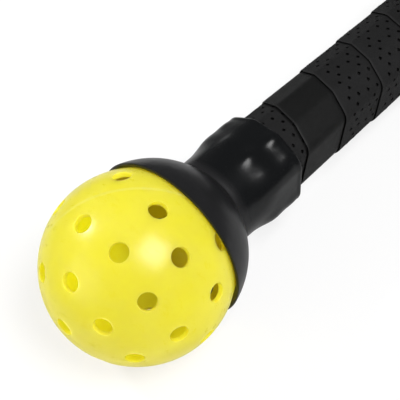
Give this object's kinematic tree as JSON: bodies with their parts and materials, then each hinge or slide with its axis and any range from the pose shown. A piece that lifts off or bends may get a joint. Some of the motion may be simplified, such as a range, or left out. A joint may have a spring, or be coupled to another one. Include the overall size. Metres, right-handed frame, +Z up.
{
  "type": "pickleball ball retriever",
  "caption": "Soft cup that grips a perforated ball, pushed on the wrapped butt of a paddle handle to pick balls up without bending.",
  "frame": {"origin": "on the floor under the middle of the whole object's box, as it lies on the ball and on the handle's collar", "axes": "+X from the ball towards the paddle, along the handle seen from above; +Z up; the handle's axis dips 5.95 degrees towards +X"},
  "size_m": [0.2352, 0.0736, 0.0738],
  "materials": {
    "cup_rubber": "satin bell, glossier stretched neck and sleeve",
    "ball_plastic": "smooth, slightly translucent yellow",
    "cap_plastic": "moulded black",
    "honeycomb_core": "pale honeycomb, sawn end",
    "fibre_skin": "dark fibre sheet",
    "pallet": "raw",
    "grip_tape": "matte, perforated turns and one plain turn",
    "finishing_tape": "thin black tape, slight gloss",
    "collar_rubber": "matte black rubber"
  },
  "bodies": {
    "handle": {"butt_cap": "cap_plastic", "tongue_core": "honeycomb_core", "tongue_skin_upper": "fibre_skin", "tongue_skin_lower": "fibre_skin", "pallet_upper": "pallet", "pallet_lower": "pallet", "grip_tape": "grip_tape", "finishing_tape": "finishing_tape", "collar_band": "collar_rubber"},
    "cup": {"retriever_cup": "cup_rubber"},
    "ball": {"ball_half_front": "ball_plastic", "ball_half_back": "ball_plastic"}
  },
  "joints": [
    {"name": "cup_pull_off", "type": "slide", "parent": "handle", "child": "cup", "axis": [-0.9946, 0, 0.1037], "range_m": [0, 0.05]},
    {"name": "ball_release", "type": "slide", "parent": "cup", "child": "ball", "axis": [-0.9946, 0, 0.1037], "range_m": [0, 0.05]}
  ]
}
